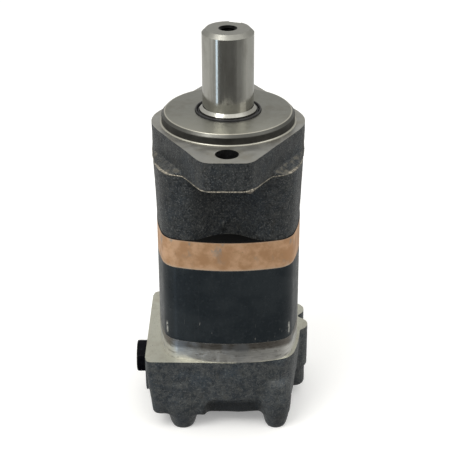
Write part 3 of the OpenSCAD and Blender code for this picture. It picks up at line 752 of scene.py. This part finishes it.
def pilot_metal():
    """The pilot: a turned top with a painted highlight at the front, painted highlights along its edge and
    foot line, and a darker side wall.
    """
    s = Shader("turned_pilot", Metallic=0.85)
    rings = s.turned_rings(0.26)
    base = s.mix(rings, rgb(0.205, 0.205, 0.180), rgb(0.300, 0.300, 0.270))
    stain = s.band(s.noise(15.0, 3.0, 0.6), 0.46, 0.70, 0.0, 0.5)
    base = s.mix(stain, base, rgb(0.185, 0.175, 0.145))
    # painted highlight: the front of the top is lighter
    front_highlight = s.band(s.axes[1], -2.0, -36.0, 0.0, 0.6)
    base = s.mix(front_highlight, base, rgb(0.37, 0.365, 0.32))
    chamfer = s.math("MULTIPLY", s.band(s.radius(), PILOT_R - 1.95, PILOT_R - 1.75),
                     s.band(s.axes[2], PILOT_H - 2.2, PILOT_H - 1.8))
    base = s.mix(s.math("MULTIPLY", chamfer, 0.9), base, rgb(0.095, 0.095, 0.088))
    # painted highlight: a bright line along the edge of the top, just inside the chamfer
    lip = s.math("MULTIPLY", s.band(s.radius(), PILOT_R - 2.5, PILOT_R - 2.2),
                 s.band(s.axes[2], PILOT_H - 0.35, PILOT_H - 0.12))
    base = s.mix(s.math("MULTIPLY", lip, 0.8), base, rgb(0.60, 0.58, 0.50))
    # the side wall is darker than the top
    wall = s.math("MULTIPLY", s.band(s.radius(), PILOT_R - 0.5, PILOT_R - 0.2),
                  s.band(s.axes[2], PILOT_H - 1.5, PILOT_H - 1.9))
    wall = s.math("MULTIPLY", wall, s.band(s.axes[2], 0.45, 0.85))
    wall_colour = s.mix(s.noise(4.0, 3.0), rgb(0.030, 0.030, 0.028), rgb(0.075, 0.072, 0.064))
    base = s.mix(wall, base, wall_colour)
    # painted highlight: a bright line where the pilot meets the flange face
    foot = s.math("MULTIPLY", s.band(s.radius(), PILOT_R - 0.1, PILOT_R + 0.1), s.band(s.axes[2], 0.9, 0.5))
    base = s.mix(s.math("MULTIPLY", foot, 0.7), base, rgb(0.62, 0.60, 0.52))
    rough = s.math("ADD", s.band(s.noise(5.0, 3.0), 0.3, 0.7, 0.28, 0.42), s.math("MULTIPLY", wall, 0.1))
    return s.finish(base, rough, rings, 0.025)


def flash_metal():
    """The flash, bright where it broke off and dirty elsewhere."""
    s = Shader("sheared_flash", Metallic=0.5)
    grain = s.band(s.noise(1.4, 3.0, 0.65), 0.38, 0.62)
    base = s.mix(grain, rgb(0.15, 0.14, 0.12), rgb(0.52, 0.47, 0.38))
    dirt = s.band(s.noise(7.0, 3.0), 0.5, 0.64, 0.0, 0.8)
    base = s.mix(dirt, base, rgb(0.09, 0.09, 0.08))
    return s.finish(base, s.band(grain, 0.0, 1.0, 0.55, 0.4), s.noise(0.5, 3.0), 0.12)


def shaft_metal(edge):
    """Ground steel: fine lines, haze and light scratches, with a duller turned end and painted shade in the
    end hole.
    """
    s = Shader("ground_shaft", edge, Metallic=1.0)
    lines = s.noise(0.22, 2.0, 0.6, s.stretched(0.02, 0.02, 1.0))
    haze = s.band(s.noise(10.0, 4.0, 0.6, s.stretched(1.0, 1.0, 0.45)), 0.4, 0.7)
    base = s.mix(haze, rgb(0.55, 0.545, 0.50), rgb(0.44, 0.43, 0.39))
    scratches = s.band(s.noise(0.5, 2.0, 0.5, s.stretched(1.0, 1.0, 0.04)), 0.66, 0.72, 0.0, 0.35)
    base = s.mix(scratches, base, rgb(0.78, 0.77, 0.73))
    spots = s.band(s.noise(1.5, 3.0, 0.6), 0.70, 0.76, 0.0, 0.5)
    base = s.mix(spots, base, rgb(0.22, 0.20, 0.17))
    upper = s.band(s.axes[2], SHAFT_HIGH[2] - 2.62, SHAFT_HIGH[2] - 2.45)
    upper_colour = s.mix(s.noise(2.0, 4.0), rgb(0.29, 0.288, 0.262), rgb(0.39, 0.385, 0.352))
    base = s.mix(upper, base, upper_colour)
    # painted shade: the mouth of the end hole is darkened almost to black
    hole = s.math("MULTIPLY", s.band(s.radius(), 5.9, 5.6), s.band(s.axes[2], 30.0, 31.0))
    base = s.mix(hole, base, rgb(0.006, 0.006, 0.006))
    base = s.worn(base, rgb(0.50, 0.49, 0.46))
    rough = s.math("ADD", s.band(lines, 0.3, 0.7, 0.09, 0.14), s.math("MULTIPLY", haze, 0.06))
    rough = s.math("ADD", rough, s.math("MULTIPLY", upper, 0.24))
    return s.finish(base, rough, lines, 0.006)


def copper_plate(edge):
    """Copper-coloured plate: cloudy patches, grey wear near the top, and a dark joint above it."""
    s = Shader("copper_bronze", edge, Metallic=0.22, Specular_IOR_Level=0.25)
    patch = s.band(s.noise(11.0, 5.0, 0.62), 0.38, 0.62)
    base = s.mix(patch, rgb(0.56, 0.315, 0.165), rgb(0.76, 0.475, 0.285))
    grey = s.math("MULTIPLY", s.band(s.noise(9.0, 4.0, 0.65, s.stretched(1.0, 1.0, 0.7)), 0.54, 0.70),
                  s.band(s.axes[2], (WEAR_LOW[2] + WEAR_HIGH[2]) / 2 - 4, WEAR_HIGH[2] - 2, 0.25, 0.95))
    base = s.mix(grey, base, rgb(0.34, 0.33, 0.30))
    dark = s.band(s.noise(3.2, 3.0, 0.7), 0.62, 0.78, 0.0, 0.5)
    base = s.mix(dark, base, rgb(0.30, 0.18, 0.11))
    rim = s.math("MAXIMUM", s.band(s.axes[2], WEAR_HIGH[2] - 1.6, WEAR_HIGH[2] - 0.4),
                 s.band(s.axes[2], WEAR_LOW[2] + 1.8, WEAR_LOW[2] + 0.5))
    base = s.mix(s.math("MULTIPLY", rim, 0.5), base, rgb(0.70, 0.52, 0.38))
    base = s.worn(base, rgb(0.82, 0.70, 0.56), 0.95)
    joint = s.band(s.axes[2], WEAR_HIGH[2] - 0.75, WEAR_HIGH[2] - 0.35)
    base = s.mix(joint, base, rgb(0.006, 0.006, 0.006))
    grain = s.noise(0.5, 3.0, 0.6, s.stretched(1.0, 1.0, 0.35))
    rough = s.math("ADD", s.band(s.noise(4.0, 4.0), 0.3, 0.7, 0.36, 0.54), s.math("MULTIPLY", joint, 0.3))
    return s.finish(base, rough, grain, 0.035)


# where a painted highlight runs up each front corner of the ring
CORNER_HIGHLIGHT_X = 38.9


def black_steel(edge):
    """Blackened steel, with fine lines, bright scratches low down and a painted highlight low on each front
    corner.
    """
    s = Shader("blackened_steel", edge, Metallic=0.08, Specular_IOR_Level=0.19)
    base = s.mix(s.band(s.noise(18.0, 3.0), 0.35, 0.65), rgb(0.021, 0.027, 0.032), rgb(0.032, 0.039, 0.044))
    lines = s.noise(0.9, 3.0, 0.6, s.stretched(1.0, 1.0, 0.03))
    base = s.mix(s.band(lines, 0.55, 0.75, 0.0, 0.5), base, rgb(0.040, 0.044, 0.048))
    scratch_here = s.band(s.noise(14.0, 2.0), 0.52, 0.62)
    scratch = s.band(s.noise(0.7, 2.0, 0.5, s.stretched(1.0, 1.0, 0.10)), 0.69, 0.74)
    low_corner = s.band(s.axes[2], RING_LOW[2] + 22, RING_LOW[2] + 8)
    scratch = s.math("MULTIPLY", s.math("MULTIPLY", scratch, scratch_here), low_corner)
    base = s.mix(s.math("MULTIPLY", scratch, 0.9), base, rgb(0.42, 0.41, 0.38))
    # painted highlight: a short bright upright line low on each front corner
    off_line = s.math("ABSOLUTE", s.math("SUBTRACT", s.math("ABSOLUTE", s.axes[0]), CORNER_HIGHLIGHT_X))
    corner_highlight = s.math("MULTIPLY", s.band(off_line, 0.75, 0.3),
                 s.band(s.axes[2], RING_LOW[2] + 12.5, RING_LOW[2] + 9))
    corner_highlight = s.math("MULTIPLY", corner_highlight, s.band(s.axes[2], RING_LOW[2] + 2, RING_LOW[2] + 4))
    corner_highlight = s.math("MULTIPLY", corner_highlight, s.band(s.axes[1], -30.0, -35.0))
    corner_highlight = s.math("MULTIPLY", corner_highlight, s.band(s.noise(1.4, 3.0, 0.6), 0.36, 0.52))
    base = s.mix(corner_highlight, base, rgb(0.50, 0.50, 0.46))
    cloud = s.band(s.noise(2.2, 4.0, 0.65), 0.50, 0.72, 0.0, 0.5)
    base = s.mix(cloud, base, rgb(0.050, 0.058, 0.064))
    base = s.worn(base, rgb(0.10, 0.10, 0.095), 0.4)
    rough = s.band(s.noise(5.0, 4.0, 0.6), 0.3, 0.7, 0.26, 0.38)
    return s.finish(base, rough, lines, 0.01)


def bright_steel(edge):
    """Brushed along the plate, with a brown band along the valve plate's upper edge."""
    s = Shader("brushed_plate", edge, Metallic=0.9)
    lines = s.noise(0.3, 3.0, 0.6, s.stretched(0.03, 0.03, 1.0))
    base = s.mix(s.band(lines, 0.3, 0.7), rgb(0.60, 0.59, 0.55), rgb(0.88, 0.87, 0.83))
    wave = s.math("MULTIPLY", s.math("SUBTRACT", s.noise(8.0, 4.0, 0.6), 0.5), 5.0)
    level = s.math("ADD", s.axes[2], wave)
    brown = s.band(level, PLATE_HIGH[2] - 6.5, PLATE_HIGH[2] - 3.5)
    here = s.math("MULTIPLY", brown, s.band(s.axes[2], PLATE_HIGH[2] + 2, PLATE_HIGH[2] + 1))
    upper_band_colour = s.mix(s.noise(3.0), rgb(0.055, 0.043, 0.032), rgb(0.13, 0.105, 0.08))
    base = s.mix(s.math("MULTIPLY", here, 0.8), base, upper_band_colour)
    blue = s.band(s.noise(20.0, 2.0), 0.5, 0.66, 0.0, 0.4)
    base = s.mix(blue, base, rgb(0.34, 0.38, 0.43))
    dirt = s.band(s.noise(2.6, 4.0, 0.65, s.stretched(0.4, 0.4, 1.0)), 0.55, 0.70, 0.0, 0.6)
    base = s.mix(dirt, base, rgb(0.12, 0.105, 0.085))
    base = s.worn(base, rgb(0.78, 0.77, 0.72))
    rough = s.band(s.noise(5.0, 4.0), 0.3, 0.7, 0.32, 0.50)
    return s.finish(base, rough, lines, 0.02)


def steel(edge, name, colour, rough, metallic=1.0, grain=0.4):
    """Ground or turned steel of the inner parts, with oil stains and brighter edges."""
    s = Shader(name, edge, Metallic=metallic)
    cloud = s.band(s.noise(6.0, 4.0, 0.6), 0.35, 0.68)
    darker = rgb(*(c * 0.72 for c in colour))
    base = s.mix(cloud, rgb(*colour), darker)
    lines = s.noise(grain, 2.0, 0.6, s.stretched(0.05, 0.05, 1.0))
    base = s.mix(s.band(lines, 0.6, 0.8, 0.0, 0.4), base, rgb(*(min(c * 1.5, 0.9) for c in colour)))
    oil = s.band(s.noise(9.0, 3.0, 0.6), 0.62, 0.76, 0.0, 0.4)
    base = s.mix(oil, base, rgb(*(c * f for c, f in zip(colour, (0.6, 0.5, 0.36)))))
    base = s.worn(base, rgb(*(min(c * 1.6 + 0.05, 0.9) for c in colour)), 0.6)
    return s.finish(base, s.band(s.noise(4.0, 3.0), 0.3, 0.7, rough, rough + 0.14), lines, 0.012)


def rubber(edge):
    """Black seal rubber with a little dust."""
    s = Shader("nitrile_rubber", edge, Metallic=0.0)
    base = s.mix(s.band(s.noise(5.0, 4.0), 0.35, 0.7), rgb(0.010, 0.010, 0.011), rgb(0.030, 0.030, 0.032))
    dust = s.band(s.noise(0.8, 3.0, 0.7), 0.64, 0.76, 0.0, 0.35)
    base = s.mix(dust, base, rgb(0.11, 0.105, 0.095))
    base = s.worn(base, rgb(0.06, 0.06, 0.06), 0.5)
    return s.finish(base, s.band(s.noise(3.0), 0.3, 0.7, 0.34, 0.52), s.noise(0.5, 3.0), 0.03)


def plug_paint(edge):
    """Glossy black paint, scuffed in places."""
    s = Shader("black_plug", edge, Metallic=0.0, Specular_IOR_Level=0.05)
    base = s.mix(s.band(s.noise(4.0, 4.0), 0.35, 0.7), rgb(0.002, 0.002, 0.004), rgb(0.007, 0.007, 0.010))
    scuff = s.band(s.noise(0.9, 3.0, 0.6, s.stretched(0.4, 1.0, 1.0)), 0.66, 0.74, 0.0, 0.4)
    base = s.mix(scuff, base, rgb(0.06, 0.06, 0.06))
    base = s.worn(base, rgb(0.05, 0.05, 0.05), 0.5)
    return s.finish(base, s.band(s.noise(3.0), 0.3, 0.7, 0.22, 0.36), s.noise(0.7, 3.0), 0.02)


def dress(piece, *materials):
    """Gives a piece its materials, one for each slot of its faces."""
    for material in materials[len(piece.material_slots):]:
        piece.data.materials.append(material)
    for slot, material in zip(piece.material_slots, materials):
        slot.material = material


def both(make, *values):
    """A finish for a slot: the material of its faces and the one of its broken edges."""
    return make(False, *values), make(True, *values)


IRON = cast_iron("oiled_cast_iron", 1.0, 0.8)
BLOCK_IRON = cast_iron("oiled_cast_iron_block", 1.75, 0.4)
FLANGE_FACE = machined_iron("machined_flange", 0.82, 0.07)
BLOCK_FACE = machined_iron("machined_block", 1.22, 0.17)
FINISHES = {
    "casting": (IRON,),
    "copper_plate": both(copper_plate),
    "black_steel": both(black_steel),
    "bright_steel": both(bright_steel),
    "shaft_steel": both(shaft_metal),
    "seal_rubber": both(rubber),
    "bearing_steel": both(steel, "polished_bearing_steel", (0.60, 0.60, 0.59), 0.16),
    "cage_steel": both(steel, "pressed_cage_steel", (0.42, 0.37, 0.28), 0.34),
    "hard_steel": both(steel, "hardened_steel", (0.40, 0.40, 0.39), 0.28),
    "plug_black": both(plug_paint),
    "washer_copper": both(steel, "copper_washer", (0.30, 0.20, 0.13), 0.38),
    "spring_steel": both(steel, "spring_wire", (0.33, 0.33, 0.34), 0.30),
}
SLOTS = {p["node"]: p["material_slot"] for p in frame["record"]["subparts"]}

# ---------------------------------------------------------------- build

def keep(piece, body, slot, *materials):
    """Ties a piece to its body and gives it its finish: the materials given, or else the slot's finish."""
    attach(piece, body)
    dress(piece, *(materials or FINISHES[slot]))
    return piece


housing = keep(housing_casting(), "root", "casting", IRON, FLANGE_FACE)
keep(parting_flash(), "root", "casting", flash_metal())
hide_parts("bearing_housing")

CHAMFER = 1.9
POCKET_R = SEAL_HIGH[0]
pilot = lathe("pilot_ring", [
    (WEB_BORE, -1.5), (PILOT_R + 1.0, -1.5), (PILOT_R + 1.0, 0.04)]
    + arc(PILOT_R + 1.0, 1.04, 1.0, 270, 180)
    + [(PILOT_R, PILOT_H - CHAMFER - 0.15), (PILOT_R - 0.1, PILOT_H - CHAMFER),
       (PILOT_R - CHAMFER + 0.1, PILOT_H - 0.05), (PILOT_R - CHAMFER - 0.1, PILOT_H),
       (POCKET_R + 0.3, PILOT_H), (POCKET_R, PILOT_H - 0.3), (POCKET_R, WEB_Z), (WEB_BORE, WEB_Z)])
keep(pilot, "root", "casting", pilot_metal())

block = keep(valve_casting(), "root", "casting", BLOCK_IRON, BLOCK_FACE)
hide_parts("valve_housing")

SEAL_IN = SHAFT_R + 1.875
LIP_Z = SEAL_HIGH[2]
seal = lathe("dust_seal_lips", [(SEAL_IN, WEB_Z), (POCKET_R, WEB_Z)]
             + arc(POCKET_R - 0.5, LIP_Z - 0.5, 0.49, 0, 160, 6)
             + [(POCKET_R - 1.25, LIP_Z - 1.7), (SEAL_IN + 1.1, LIP_Z - 1.9)]
             + arc(SEAL_IN + 0.5, LIP_Z - 1.25, 0.48, 20, 180, 6))
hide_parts("dust_seal")
keep(seal, "root", "seal_rubber")

for node, bevel in (("wear_plate", 0.4), ("roller_ring", 0.35), ("valve_plate", 0.4), ("tie_bolts", 0.25),
                    ("drain_plug", 0.3), ("drain_plug_washer", 0.2), ("check_plugs", 0.2)):
    keep(copy_node(node, bevel), "root", SLOTS[node])
keep(copy_node("output_shaft", 0.2), "shaft", "shaft_steel")

END_THREAD_TOP = SHAFT_HIGH[2] - 1.6
thread = helix_liner("shaft_end_thread_wall", minor=3.95, major=4.24, pitch=1.59, length=20.0, columns=32)
thread.data.transform(Matrix.Translation((0, 0, END_THREAD_TOP * MM)))
keep(thread, "shaft", "shaft_steel")
for letter, y in (("a", -PORT_Y), ("b", PORT_Y)):
    liner = helix_liner("port_thread_" + letter, PORT_R, THREAD_MAJOR, pitch=1.81, length=15.0,
                        columns=64, mouth=PORT_CHAMFER)
    turn_to_port(liner, y)
    keep(liner, "root", "casting", BLOCK_FACE)

for node, piece in frame["nodes"].items():
    dress(piece, FINISHES[SLOTS[node]][0])

# ---------------------------------------------------------------- floor, light and camera


def studio_floor():
    """A flat pale floor just under the feet, with a faint unevenness in its tone."""
    count = 40
    half = 2500.0
    line = np.linspace(-half, half, count)
    points = [(x, y, Z_FOOT - 0.02) for y in line for x in line]
    faces = [(j * count + i, j * count + i + 1, (j + 1) * count + i + 1, (j + 1) * count + i)
             for j in range(count - 1) for i in range(count - 1)]
    floor = mesh_object("studio_floor", points, faces)
    s = Shader("pale_floor")
    tone = s.mix(s.noise(300.0, 2.0), rgb(0.93, 0.93, 0.93), rgb(0.96, 0.96, 0.955))
    dress(floor, s.finish(tone, s.band(s.noise(40.0), 0.3, 0.7, 0.75, 0.85), s.noise(3.0), 0.02))
    s.put(s.bsdf.inputs["Emission Color"], rgb(1.0, 1.0, 1.0))
    s.put(s.bsdf.inputs["Emission Strength"], 0.22)
    floor.visible_glossy = False
    floor.visible_diffuse = False


def soft_light(name, position, aim, size, power, colour):
    """A rectangular area light, in metres and watts, turned towards its aim."""
    data = bpy.data.lights.new(name, "AREA")
    data.shape = "RECTANGLE"
    data.size, data.size_y = size
    data.energy = power
    data.color = colour
    light = bpy.data.objects.new(name, data)
    bpy.context.scene.collection.objects.link(light)
    light.location = position
    light.rotation_euler = (Vector(aim) - Vector(position)).to_track_quat("-Z", "Y").to_euler()


STRIP_TURN = -0.82  # radians from straight ahead to a narrow pale window that the shaft mirrors


def studio_world():
    """Soft light from all round, dimmer in front so that polished steel shows a dark band."""
    world = bpy.data.worlds.new("studio")
    bpy.context.scene.world = world
    world.use_nodes = True
    tree = world.node_tree
    background = tree.nodes["Background"]
    way = tree.nodes.new("ShaderNodeTexCoord").outputs["Generated"]
    split = tree.nodes.new("ShaderNodeSeparateXYZ")
    tree.links.new(way, split.inputs[0])

    def step(value, low, high, out_low, out_high):
        node = tree.nodes.new("ShaderNodeMapRange")
        node.interpolation_type = "SMOOTHSTEP"
        for key, number in enumerate((low, high, out_low, out_high)):
            node.inputs[key + 1].default_value = number
        tree.links.new(value, node.inputs[0])
        return node.outputs[0]

    def combine(operation, a, b):
        node = tree.nodes.new("ShaderNodeMath")
        node.operation = operation
        for socket, value in zip(node.inputs, (a, b)):
            if isinstance(value, bpy.types.NodeSocket):
                tree.links.new(value, socket)
            else:
                socket.default_value = value
        return node.outputs[0]

    # below the horizon, what a bench in front of the motor reflects: dim ahead, brighter at the sides
    ahead = combine("MULTIPLY", split.outputs[1], -1.0)
    turn = combine("ARCTAN2", split.outputs[0], ahead)
    below = combine("ADD", step(turn, -0.85, -0.60, 0.30, 0.0), step(turn, -1.7, -1.2, 0.16, 0.0))
    below = combine("ADD", below, step(turn, 0.40, 0.90, 0.0, 0.10))
    below = combine("ADD", below, step(turn, 0.90, 1.70, 0.0, 0.26))
    off_strip = combine("ABSOLUTE", combine("SUBTRACT", turn, STRIP_TURN), 0.0)
    strip = step(off_strip, 0.04, 0.11, 1.0, 0.0)
    below = combine("ADD", below, combine("MULTIPLY", strip, 1.5))
    below = combine("ADD", below, 0.13)
    rise = split.outputs[2]
    above = combine("ADD", step(rise, 0.0, 0.5, 0.48, 0.60), step(rise, 0.55, 0.9, 0.0, 0.55))
    high = step(rise, -0.06, 0.06, 0.0, 1.0)
    level = combine("ADD", combine("MULTIPLY", above, high),
                    combine("MULTIPLY", below, combine("SUBTRACT", 1.0, high)))
    tree.links.new(level, background.inputs["Strength"])
    blue = combine("MULTIPLY", strip, combine("SUBTRACT", 1.0, high))
    tint = tree.nodes.new("ShaderNodeMix")
    tint.data_type = "RGBA"
    tint.inputs[6].default_value = (1.0, 0.995, 0.965, 1)
    tint.inputs[7].default_value = (0.66, 0.82, 1.0, 1)
    tree.links.new(blue, tint.inputs[0])
    tree.links.new(tint.outputs[2], background.inputs["Color"])
    # the background itself is plain white
    seen = tree.nodes.new("ShaderNodeLightPath").outputs["Is Camera Ray"]
    white = tree.nodes.new("ShaderNodeBackground")
    mix = tree.nodes.new("ShaderNodeMixShader")
    tree.links.new(seen, mix.inputs[0])
    tree.links.new(background.outputs[0], mix.inputs[1])
    tree.links.new(white.outputs[0], mix.inputs[2])
    white.inputs["Color"].default_value = (1, 1, 1, 1)
    tree.links.new(mix.outputs[0], tree.nodes["World Output"].inputs["Surface"])


CAMERA_AZIMUTH = 1.18
CAMERA_ELEVATION = 27.2
CAMERA_ROLL = -0.36
CAMERA_AIM = Vector((-4.21, 0.0, -76.43))
CAMERA_DISTANCE = 808.05
SENSOR_WIDTH = 36.0
LENS = 97.6461
LENS_SHIFT = (0.0172609, -0.0011739)


def photo_camera():
    """The camera, in degrees and millimetres about the motor's frame."""
    azimuth, elevation, roll = (math.radians(a) for a in (CAMERA_AZIMUTH, CAMERA_ELEVATION, CAMERA_ROLL))
    back = Vector((math.sin(azimuth) * math.cos(elevation), -math.cos(azimuth) * math.cos(elevation),
                   math.sin(elevation)))
    side = (-back).cross(Vector((0, 0, 1))).normalized()
    up = side.cross(-back).normalized()
    turn = Matrix((side * math.cos(roll) + up * math.sin(roll),
                   up * math.cos(roll) - side * math.sin(roll), back)).transposed().to_4x4()
    turn.translation = (CAMERA_AIM + back * CAMERA_DISTANCE) * MM
    data = bpy.data.cameras.new("camera")
    camera = bpy.data.objects.new("camera", data)
    bpy.context.scene.collection.objects.link(camera)
    camera.matrix_world = turn
    data.sensor_width = SENSOR_WIDTH
    data.lens = LENS
    data.shift_x, data.shift_y = LENS_SHIFT
    data.clip_start = 0.01
    bpy.context.scene.camera = camera


studio_floor()
studio_world()
photo_camera()
soft_light("key", (-0.55, -0.60, 0.95), (0, 0, -0.08), (0.7, 0.7), 6.5, (1.0, 0.985, 0.95))
soft_light("fill", (0.9, -0.35, 0.35), (0, 0, -0.1), (0.6, 0.8), 2.0, (1.0, 0.98, 0.95))
bpy.context.scene.view_settings.view_transform = "Standard"
bpy.context.scene.view_settings.exposure = 0.0
